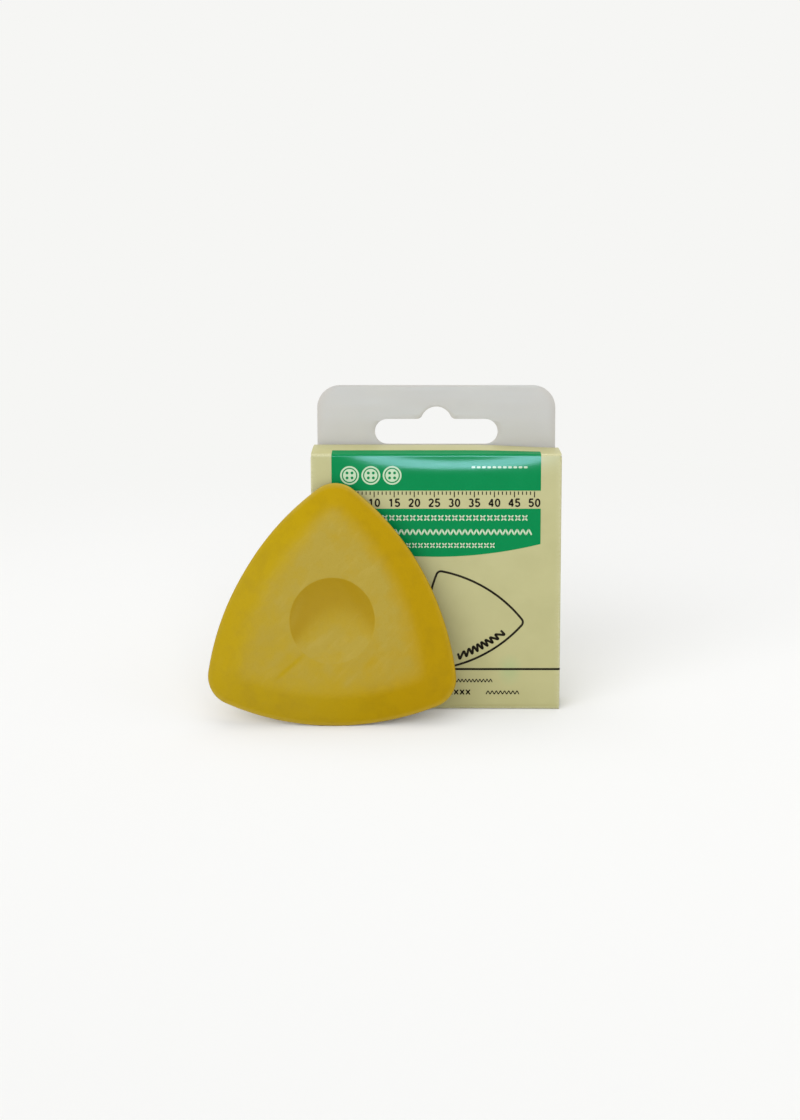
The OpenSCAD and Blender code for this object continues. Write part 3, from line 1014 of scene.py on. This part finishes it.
    def dust_flap(self, end: End, side: Side) -> Piece:
        """A dust flap with its fold, from the side panel's cut over and in under the lid.

        Both its edges slope inwards along it, and its free corners are quarter circles of flap_corner_r.

        Args:
            end: Which end it closes.
            side: Which side panel carries it.

        Returns:
            The piece.
        """
        r, level, wall, round_r = self.crease_r, self.under_lid, -self.width / 2, self.flap_corner_r
        rise = np.linspace((wall, self.flap_fold), (wall, level - r), 4)
        turn = np.linspace(0, QUARTER, 9)[1:]
        over = np.stack([wall + r * (1 - np.cos(turn)), level - r + r * np.sin(turn)], -1)
        straight = self.flap_len - round_r
        reach = np.concatenate([np.linspace(r, straight, 12)[1:],
                                self.flap_len - round_r * (1 - np.sin(np.linspace(0, QUARTER, 8)[1:]))])
        profile = np.concatenate([rise, over, np.stack([wall + reach, np.full(len(reach), level)], -1)])
        out = np.concatenate([np.zeros(len(rise) + len(over)), reach])
        rounded = round_r * (1 - np.sqrt(1 - np.clip((out - straight) / round_r, 0, 1) ** 2))
        back = self.flap_back - self.flap_back_slope * np.minimum(out, straight) - rounded
        front = self.flap_front + self.flap_front_slope * np.minimum(out, straight) + rounded
        y = back[:, None] + (front - back)[:, None] * np.linspace(0, 1, 15)
        x, z = (np.broadcast_to(values[:, None], y.shape) for values in profile.T)
        sheet = Shell.sheet(np.stack([x, y, z], -1), self.board * self.thinned,
                            crease=np.exp(-((np.arange(len(profile)) - 7) / 3.0) ** 2)[:, None])
        name = f"{end.value}_dust_flap_{side.value}"
        return self.hinged(name, ("carton", name), sheet, end, side)

    def build(self) -> list[Piece]:
        """Makes every board piece. The upper lid has sprung up a little; the lower one carries the box.

        Returns:
            The pieces.
        """
        pieces = [self.wrap()]
        for end, lift in ((End.TOP, self.lid_lift), (End.BOTTOM, 0.0)):
            pieces += [self.lid(end, lift), self.tongue(end, lift)]
            pieces += [self.dust_flap(end, side) for side in Side]
        return pieces


# The print on the front panel

class Stitch(Enum):
    """Stitches of the printed seams: where each stroke starts and stops, in pitches and half heights."""

    RUNNING = (((0.0, 0.0), (0.7, 0.0)),)
    ZIGZAG = (((0.0, -1.0), (0.5, 1.0)), ((0.5, 1.0), (1.0, -1.0)))
    CROSS = (((0.0, -1.0), (0.72, 1.0)), ((0.0, 1.0), (0.72, -1.0)))


@dataclass
class Label:
    """Generic sewing-themed print: green bands, a measuring strip, stitch rows and a triangle in outline."""

    carton: Carton
    half: float = 26.1
    film: float = 0.025
    proud: float = 0.02
    first_band_low: float = 56.4
    first_band_on_lid: float = -2.2
    second_band_top: float = 51.84
    second_band_sag: float = 39.6
    second_band_curve: float = 0.00476
    rule_z: float = 10.6
    line_w: float = 0.55
    triangle_at: tuple[float, float] = (7.47, 23.12)
    triangle_turned: float = -28.5
    triangle_tip: float = 14.36
    triangle_corner_r: float = 1.2
    triangle_side_r: float = 34.4
    buttons_x: tuple[float, ...] = (-21.6, -16.3, -11.0)
    buttons_z: float = 60.25
    button_r: float = 2.35
    hole_off: float = 0.62
    hole_r: float = 0.36
    rim_share: float = 0.76
    rim_w: float = 0.3

    def printed(self, surface: Grid, layer: int = 1) -> Shell:
        """A film of ink on a grid of points of the board, one film's thickness higher for each layer."""
        return Shell.sheet(surface + outward_normals(surface) * self.proud * layer, self.film)

    def stroke(self, path: Grid, widths: Grid | float, layer: int = 1) -> Shell:
        """A stroke of ink on the front panel.

        Each path point spreads half its width to both sides, along the direction at right angles to the path.

        Args:
            path: Points across and up the panel.
            widths: Width at each point, or one width.
            layer: 1 on the board, 2 or more on another ink.

        Returns:
            The film of ink.
        """
        along = np.gradient(path, axis=0)
        along = along / np.linalg.norm(along, axis=1, keepdims=True)
        side = np.stack([along[:, 1], -along[:, 0]], -1) * np.broadcast_to(widths, len(path))[:, None] / 2
        rim = path[:, None, :] + side[:, None, :] * np.array([-1, 1])[None, :, None]
        return self.printed(self.carton.front_points(rim[..., 0], rim[..., 1]), layer)

    def stitch(self, start: Grid, stop: Grid, width: float, layer: int = 1) -> Shell:
        """One printed stitch: a straight stroke that narrows to rounded ends.

        Args:
            start: Where it starts.
            stop: Where it stops.
            width: Its full width.
            layer: 1 on the board, 2 or more on another ink.

        Returns:
            The film of ink.
        """
        t = np.array([0, 0.06, 0.16, 0.5, 0.84, 0.94, 1])[:, None]
        widths = width * np.array([0.35, 0.72, 1, 1, 1, 0.72, 0.35])
        return self.stroke(start + (stop - start) * t, widths, layer)

    def seam(self, kind: Stitch, first: float, last: float, z: float, size: tuple[float, float, float],
             layer: int = 1) -> list[Shell]:
        """A row of printed stitches at one height.

        Args:
            kind: Running, zigzag or cross stitch.
            first: Where the row starts.
            last: Where it must have ended.
            z: Its height on the panel.
            size: Pitch, height and line width.
            layer: 1 on the board, 2 or more on another ink.

        Returns:
            The films of ink.
        """
        pitch, height, width = size
        reach = np.array([pitch, height / 2])
        places = (np.array([first + n * pitch, z]) for n in range(int((last - first) / pitch)))
        return [self.stitch(place + reach * start, place + reach * stop, width, layer)
                for place in places for start, stop in kind.value]

    def numeral(self, text: str, x: float, z: float, height: float, width: float) -> list[Shell]:
        """Plain numerals, drawn with straight strokes and parts of ellipses in a box 0.62 wide and 1 high.

        Args:
            text: Digits from 0 to 5.
            x: Middle of the number.
            z: Its foot.
            height: Height of the digits.
            width: Width of the stroke.

        Returns:
            The films of ink.
        """
        def bow(across: float, up: float, wide: float, high: float, first: float, last: float) -> Grid:
            """Part of an ellipse round a middle, from the first direction to the last in degrees."""
            turn = np.radians(np.linspace(first, last, 15))
            return np.stack([across + wide * np.cos(turn), up + high * np.sin(turn)], -1)

        strokes = {
            "0": [bow(0.31, 0.5, 0.25, 0.45, 0, 360)],
            "1": [((0.12, 0.77), (0.36, 0.95)), ((0.36, 1.0), (0.36, 0.0))],
            "2": [bow(0.31, 0.7, 0.24, 0.25, 165, -40), ((0.5, 0.55), (0.06, 0.06)),
                  ((0.03, 0.05), (0.6, 0.05))],
            "3": [bow(0.29, 0.73, 0.22, 0.22, 150, -80), bow(0.29, 0.27, 0.26, 0.23, 80, -150)],
            "4": [((0.44, 0.0), (0.44, 0.98)), ((0.44, 0.98), (0.03, 0.3)), ((0.0, 0.28), (0.62, 0.28))],
            "5": [((0.56, 0.95), (0.1, 0.95)), ((0.13, 0.97), (0.09, 0.5)),
                  bow(0.28, 0.32, 0.27, 0.27, 140, -150)]}
        pitch, margin = 0.8, 0.09
        films = []
        for n, digit in enumerate(text):
            corner = np.array([x + height * ((n - len(text) / 2) * pitch + margin), z])
            films += [self.stroke(corner + height * np.array(path, float), width) for path in strokes[digit]]
        return films

    def spot(self, x: float, z: float, radius: float, layer: int) -> Shell:
        """A filled disc: a square grid, with u times root of 1 - v²/2 and v times root of 1 - u²/2.

        Args:
            x: Its middle across the panel.
            z: Its middle up the panel.
            radius: Its radius.
            layer: 1 on the board, 2 or more on another ink.

        Returns:
            The film of ink.
        """
        u, v = np.meshgrid(np.linspace(-1, 1, 11), np.linspace(-1, 1, 11))
        across, up = x + radius * u * np.sqrt(1 - v * v / 2), z + radius * v * np.sqrt(1 - u * u / 2)
        return self.printed(self.carton.front_points(across, up), layer)

    def top_band(self) -> list[Shell]:
        """The upper green band, which runs over the fold on to the lid.

        Returns:
            Its film.
        """
        box, arc = self.carton, self.carton.fold_arc
        low = self.first_band_low - (box.height - box.fold_r)
        run = np.concatenate([np.linspace(low, -1.0, 17)[:-1], np.linspace(-1, 0, 6)[:-1],
                              np.linspace(0, arc, 13)[:-1],
                              np.linspace(arc, arc + self.first_band_on_lid - box.front - box.fold_r, 12)])
        x = np.linspace(-self.half, self.half, 57)
        return [self.printed(box.end_points(x, run[:, None], box.lid_lift))]

    def lower_band(self) -> list[Shell]:
        """The lower green band, whose bottom edge sags as curve times x squared.

        Returns:
            Its film.
        """
        x = np.linspace(-self.half, self.half, 57)
        low = self.second_band_sag + self.second_band_curve * x ** 2
        z = low + (self.second_band_top - low) * np.linspace(0, 1, 12)[:, None]
        return [self.printed(self.carton.front_points(x, z))]

    def rule(self) -> list[Shell]:
        """The black rule across the panel's lower part, drawn round both upright folds on quarter circles.

        Returns:
            Its film.
        """
        box = self.carton
        edge, r = box.width / 2 - box.upright_r, box.upright_r
        turn = np.radians(np.linspace(0, 84, 8))
        x = np.concatenate([-edge - r * np.sin(turn[::-1]), np.linspace(-edge, edge, 12)[1:-1],
                            edge + r * np.sin(turn)])
        drawn = np.concatenate([r * (1 - np.cos(turn[::-1])), np.zeros(10), r * (1 - np.cos(turn))])
        z = self.rule_z + self.line_w * np.array([[-0.5], [0.5]]) * np.ones_like(x)
        x, y = (np.broadcast_to(values, z.shape) for values in (x, box.front + drawn))
        return [self.printed(np.stack([x, y, z], -1))]

    def triangle(self) -> list[Shell]:
        """A tablet in outline, one corner up and to the left, with a zigzag seam along its lower right side.

        The seam's corners lie on the outline drawn in by two depths in turn.

        Returns:
            The films of ink.
        """
        corner_r, side_r = self.triangle_corner_r, self.triangle_side_r
        ring = self.triangle_tip - corner_r
        side_ring = side_circle_ring(ring, corner_r, side_r)

        def inside(angle: Grid, inset: Grid | float) -> Grid:
            """Points of the outline, drawn in by an inset.

            Args:
                angle: Directions in degrees, clockwise from its first corner.
                inset: How far each point is drawn in.

            Returns:
                The points across and up the panel.
            """
            reach = (bowed_outline(angle, ring, corner_r, side_ring, side_r) - inset)[:, None]
            way = np.radians(angle + self.triangle_turned)
            return np.array(self.triangle_at) + reach * np.stack([np.sin(way), np.cos(way)], -1)

        outer, inner, seam_w = 1.25, 3.3, 0.6
        bends = inside(np.linspace(134, 222, 19), np.where(np.arange(19) % 2, outer, inner))
        return [self.stroke(inside(np.linspace(0, 360, 361), 0.0), self.line_w),
                *(self.stitch(start, stop, seam_w) for start, stop in zip(bends[:-1], bends[1:]))]

    def measuring_strip(self) -> list[Shell]:
        """A tape measure on the cream strip between the bands: ticks each millimetre, numerals each fifth.

        Returns:
            The films of ink.
        """
        foot, high = self.second_band_top + 0.5, self.first_band_low - 0.2
        tick, long_tick, tick_w, digit_h, digit_w = 0.85, 1.5, 0.26, 2.0, 0.42
        films = []
        for n in range(1, 51):
            x, length = n - 25.5, tick if n % 5 else long_tick
            films.append(self.stroke(np.linspace((x, high - length), (x, high), 3), tick_w))
            if n % 5 == 0:
                films += self.numeral(str(n), x, foot, digit_h, digit_w)
        return films

    def foot_rows(self) -> list[Shell]:
        """Two fine rows of stitches at the panel's foot, the lower one partly bold."""
        return [*self.seam(Stitch.ZIGZAG, -20.0, 14.8, 7.6, (0.9, 0.9, 0.24)),
                *self.seam(Stitch.CROSS, -24.0, 10.4, 4.6, (1.5, 1.3, 0.36)),
                *self.seam(Stitch.ZIGZAG, 12.6, 21.0, 4.5, (1.05, 1.0, 0.26))]

    def pale_rows(self) -> list[Shell]:
        """A chart of three pale seams on the curved band, and a fine row at the upper band's right."""
        return [*self.seam(Stitch.CROSS, -24.0, 24.4, 49.5, (1.75, 1.35, 0.42), 2),
                *self.seam(Stitch.ZIGZAG, -24.0, 24.6, 45.9, (1.45, 1.5, 0.42), 2),
                *self.seam(Stitch.CROSS, -24.0, 15.0, 42.5, (1.5, 1.2, 0.36), 2),
                *self.seam(Stitch.RUNNING, 8.8, 24.4, 62.3, (1.3, 0.0, 0.5), 2)]

    def buttons(self) -> list[Shell]:
        """The pale discs of the buttons on the upper band."""
        return [self.spot(x, self.buttons_z, self.button_r, 2) for x in self.buttons_x]

    def button_details(self) -> list[Shell]:
        """Rims and four holes of the buttons, on their discs.

        Returns:
            The films of ink.
        """
        turn = np.linspace(0, 2 * math.pi, 49)
        rim = self.rim_share * self.button_r * np.stack([np.sin(turn), np.cos(turn)], -1)
        off, z = (-self.hole_off, self.hole_off), self.buttons_z
        films = []
        for x in self.buttons_x:
            films.append(self.stroke(np.array([x, z]) + rim, self.rim_w, 3))
            films += [self.spot(x + dx, z + dz, self.hole_r, 3) for dx in off for dz in off]
        return films

    def build(self) -> list[Piece]:
        """Makes every printed piece: the upper band, over the top fold, rides on no body; the others ride on
        the carton.

        Returns:
            The pieces.
        """
        green = OffsetInk("green_offset_ink", "#07894d", "#139357").material()
        black = OffsetInk("black_offset_ink", "#26221a", "#4a4535").material()
        pale = OffsetInk("pale_offset_ink", "#c9dfc0", "#b0cfae").material()
        pieces = []
        for name, films, ink in (
                ("label_green_over_fold", self.top_band(), green),
                ("label_green_curved", self.lower_band(), green),
                ("label_rule", self.rule(), black), ("label_triangle_outline", self.triangle(), black),
                ("label_measuring_strip", self.measuring_strip(), black),
                ("label_foot_rows", self.foot_rows(), black), ("label_stitch_chart", self.pale_rows(), pale),
                ("label_buttons", self.buttons(), pale),
                ("label_button_holes", self.button_details(), green)):
            piece = Shell.joined(films).piece(name, [ink])
            if name == "label_green_over_fold":
                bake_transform(piece)
            else:
                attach(piece, "carton")
            pieces.append(piece)
        return pieces


# The hang tab

@dataclass
class HangTab:
    """Die-cut plastic hanger behind the carton, with a round-ended slot and an arched notch."""

    width: float = 61.0
    low: float = 50.6
    high: float = 81.8
    front: float = 5.2
    thickness: float = 0.4
    top_r: float = 5.8
    low_r: float = 1.5
    slot_w: float = 31.5
    slot_h: float = 6.4
    slot_low: float = 66.7
    notch_w: float = 8.0
    notch_h: float = 3.2
    fillet_r: float = 1.6
    edge_r: float = 0.09
    bow: float = 0.25
    bow_from: float = 66.0
    directions: int = 480

    @property
    def middle(self) -> float:
        """Height of the slot's middle."""
        return self.slot_low + self.slot_h / 2

    def ray_lengths(self, inside: Callable[[Grid, Grid], Grid], turn: Grid, reach: float) -> Grid:
        """Distance from the slot's centre to an outline, by halving.

        Each step keeps the half of the span that the outline lies in, for all directions at once.

        Args:
            inside: Says whether points across and up the tab lie inside the outline.
            turn: Directions in radians, clockwise from up.
            reach: A distance that is outside the outline in every direction.

        Returns:
            The distances.
        """
        low, high = np.zeros_like(turn), np.full_like(turn, reach)
        for _ in range(40):
            mid = (low + high) / 2
            held = inside(mid * np.sin(turn), mid * np.cos(turn))
            low, high = np.where(held, mid, low), np.where(held, high, mid)
        return low

    def in_slot(self, x: Grid, z: Grid) -> Grid:
        """Whether points lie in the slot, its notch or the fillets beside the notch.

        Args:
            x: Positions across the tab.
            z: Heights above the slot's middle.

        Returns:
            True where they do.
        """
        half_h = self.slot_h / 2
        bar = np.hypot(np.maximum(0, np.abs(x) - (self.slot_w / 2 - half_h)), z) < half_h
        arch_r = self.notch_w / 2
        arch_z = half_h + self.notch_h - arch_r
        arch = np.hypot(x, z - arch_z) < arch_r
        fillet_z = half_h + self.fillet_r
        fillet_x = math.sqrt((arch_r + self.fillet_r) ** 2 - (fillet_z - arch_z) ** 2)
        near = (np.abs(x) < fillet_x) & (z > 0) & (z < fillet_z)
        web = near & (np.hypot(np.abs(x) - fillet_x, z - fillet_z) > self.fillet_r)
        # under the arch's own tangent, between the arch and the fillet circle
        below = (z - arch_z) * fillet_x < (fillet_z - arch_z) * np.abs(x) + 1e-9
        return bar | arch | (web & below)

    def in_sheet(self, x: Grid, z: Grid) -> Grid:
        """Whether points lie in the tab's outline.

        Args:
            x: Positions across the tab.
            z: Heights above the slot's middle.

        Returns:
            True where they do.
        """
        up, down = self.high - self.middle, self.middle - self.low
        radius = np.where(z > 0, self.top_r, self.low_r)
        side = np.maximum(0, np.abs(x) - (self.width / 2 - radius))
        rise = np.maximum(0, np.where(z > 0, z - (up - radius), -z - (down - radius)))
        return np.hypot(side, rise) < radius

    def build(self) -> Piece:
        """Makes the tab as rings between the slot and the outline, over both faces and both cut edges.

        Returns:
            The piece, riding on the carton.
        """
        middle = self.middle
        base = np.linspace(0, 2 * math.pi, self.directions, endpoint=False)
        # four more rays, to the middles of the corners' arcs
        corners = [math.atan2(s * (self.width / 2 - inset), z) for s in (-1, 1)
                   for z, inset in ((self.high - middle - self.top_r / 3, 1.7), (self.low - middle, 0.4))]
        turn = np.sort(np.concatenate([base, np.mod(corners, 2 * math.pi)]))
        hole = self.ray_lengths(self.in_slot, turn, 40.0)
        sheet = self.ray_lengths(self.in_sheet, turn, 60.0)
        e, t = self.edge_r, self.thickness
        # across the face, then round the outer cut edge, back across the other face and round the slot's edge
        edge = [(e * 0.3, e * 0.3), (0.0, e), (0.0, t - e), (e * 0.3, t - e * 0.3)]
        span = np.linspace(0, 1, 10)
        rings = [(hole + e + (sheet - hole - 2 * e) * s, 0.0) for s in span]
        rings += [(sheet - inset, depth) for inset, depth in edge]
        rings += [(sheet - e - (sheet - hole - 2 * e) * s, t) for s in span]
        rings += [(hole + inset, depth) for inset, depth in edge[::-1]]
        radius = np.stack([ring for ring, _ in rings])
        depth = np.array([d for _, d in rings])[:, None]
        x, z = radius * np.sin(turn), middle + radius * np.cos(turn)
        # the free part bows back a little, as thin sheet does
        bow = self.bow * np.clip((z - self.bow_from) / (self.high - self.bow_from), 0, 1) ** 2
        rows, cols = radius.shape
        quads = grid_quads(rows + 1, cols, closed=True) % (rows * cols)
        points = np.stack([x, self.front + depth + bow, z], -1).reshape(-1, 3)
        piece = Shell(points, [quads], np.zeros(len(quads), int)).piece(
            "hang_tab_sheet", [TabPlastic().material()], sharp_deg=30)
        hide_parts("hang_tab")
        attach(piece, "carton")
        return piece


# The studio

@dataclass
class Studio:
    """Pale floor that melts into a pale surround, soft lamps and the photograph's camera."""

    camera_at: tuple[float, float, float] = (0.0, -0.3061, 0.1124)
    tilt_deg: float = 5.93
    lens: float = 39.34
    shift: tuple[float, float] = (-0.0324, -0.15)
    pale: str = "#f6f6f4"
    matt: str = "#f0f0ef"
    ambient: float = 0.49
    floor_r: float = 3.0
    floor_z: float = -0.00003
    fade_from: float = 0.10
    fade_to: float = 0.42

    def camera(self) -> None:
        """Makes the camera that was solved from the carton's corners."""
        data = bpy.data.cameras.new("camera")
        data.lens, data.sensor_width = self.lens, 36.0
        data.shift_x, data.shift_y = self.shift
        data.clip_start, data.clip_end = 0.01, 20.0
        camera = bpy.data.objects.new("camera", data)
        camera.location = self.camera_at
        camera.rotation_euler = (math.radians(90 - self.tilt_deg), 0, 0)
        bpy.context.scene.collection.objects.link(camera)
        bpy.context.scene.camera = camera

    def lamp(self, name: str, at: tuple[float, float, float], aim: tuple[float, float, float],
             size: tuple[float, float], watts: float, colour: str = "#ffffff") -> bpy.types.Object:
        """Makes one soft area lamp.

        Args:
            name: Name of the lamp.
            at: Its place.
            aim: The point that it faces.
            size: Width and height.
            watts: Power.
            colour: Colour of its light.

        Returns:
            The lamp.
        """
        data = bpy.data.lights.new(name, "AREA")
        data.shape, data.size, data.size_y = "RECTANGLE", *size
        data.energy, data.color = watts, to_linear(colour)[:3]
        lamp = bpy.data.objects.new(name, data)
        lamp.location = at
        lamp.rotation_euler = (Vector(aim) - Vector(at)).to_track_quat("-Z", "Y").to_euler()
        bpy.context.scene.collection.objects.link(lamp)
        return lamp

    def surround(self) -> None:
        """Sets the world: pale where it is seen, mirrored or looked at through glass, and softer as light."""
        world = bpy.data.worlds.new("pale_surround")
        world.use_nodes = True
        tree = world.node_tree
        tree.nodes.clear()
        seen = add_node(tree, "LightPath", out="Is Camera Ray")
        for ray in ("Is Glossy Ray", "Is Transmission Ray"):
            ray = add_node(tree, "LightPath", out=ray)
            seen = add_node(tree, "Math", {0: seen, 1: ray}, operation="MAXIMUM")
        shown = add_node(tree, "Background", {"Color": to_linear(self.pale), "Strength": 1.0})
        light = add_node(tree, "Background", {"Color": to_linear("#ffffff"), "Strength": self.ambient})
        both = add_node(tree, "MixShader", {0: seen, 1: light, 2: shown})
        add_node(tree, "OutputWorld", {"Surface": both})
        bpy.context.scene.world = world

    def floor(self) -> None:
        """Makes the round floor, whose matt middle takes the shadow and whose rim turns into the surround."""
        turn = np.linspace(0, 2 * math.pi, 96, endpoint=False)
        points = np.stack([self.floor_r * np.cos(turn), self.floor_r * np.sin(turn),
                           np.full_like(turn, self.floor_z)], -1)
        mesh = bpy.data.meshes.new("floor")
        mesh.from_pydata(points.tolist(), [], [list(range(len(turn)))])
        material, tree, place = node_material("matt_paper_floor")
        away = add_node(tree, "VectorMath", {0: place}, "Value", operation="LENGTH")
        fade = add_node(tree, "MapRange", {0: away, 1: self.fade_from, 2: self.fade_to},
                        interpolation_type="SMOOTHSTEP")
        matt = add_node(tree, "BsdfDiffuse", {"Color": to_linear(self.matt), "Roughness": 1.0})
        glow = add_node(tree, "Emission", {"Color": to_linear(self.pale), "Strength": 1.0})
        both = add_node(tree, "MixShader", {0: fade, 1: matt, 2: glow})
        add_node(tree, "OutputMaterial", {"Surface": both})
        mesh.materials.append(material)
        floor = bpy.data.objects.new("floor", mesh)
        bpy.context.scene.collection.objects.link(floor)

    def build(self) -> None:
        """Makes camera, surround, floor and lamps."""
        self.camera()
        self.surround()
        self.floor()
        self.lamp("softbox_left_front", (-0.30, -1.0, 0.52), (0, 0, 0.03), (1.8, 1.0), 7.6)
        self.lamp("softbox_overhead", (0.0, 0.1, 1.0), (0, 0, 0.04), (0.8, 0.8), 4.6)
        # a reflector that only the varnish shows: it lies where the panel's curve below the fold mirrors it
        card = self.lamp("window_card", (0.028, -1.25, 0.143), (0, 0, 0.064), (0.205, 0.2), 16.0, "#b0dfff")
        card.visible_diffuse = False
        bpy.context.scene.view_settings.view_transform = "Standard"


def main() -> None:
    """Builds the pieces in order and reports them."""
    logging.basicConfig(level=logging.INFO, format="%(name)s %(message)s")
    Studio().build()
    log.info("chalk: %s", ChalkTablet().build().name)
    carton = Carton()
    for piece in carton.build():
        log.info("carton: %s", piece.name)
    for piece in Label(carton).build():
        log.info("label: %s", piece.name)
    log.info("hang tab: %s", HangTab().build().name)
    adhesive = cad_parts["hang_tab_adhesive"]
    adhesive.data.materials.clear()
    adhesive.data.materials.append(PressureAdhesive().material())
    log.info("adhesive: %s", adhesive.name)


if __name__ == "__main__":
    main()
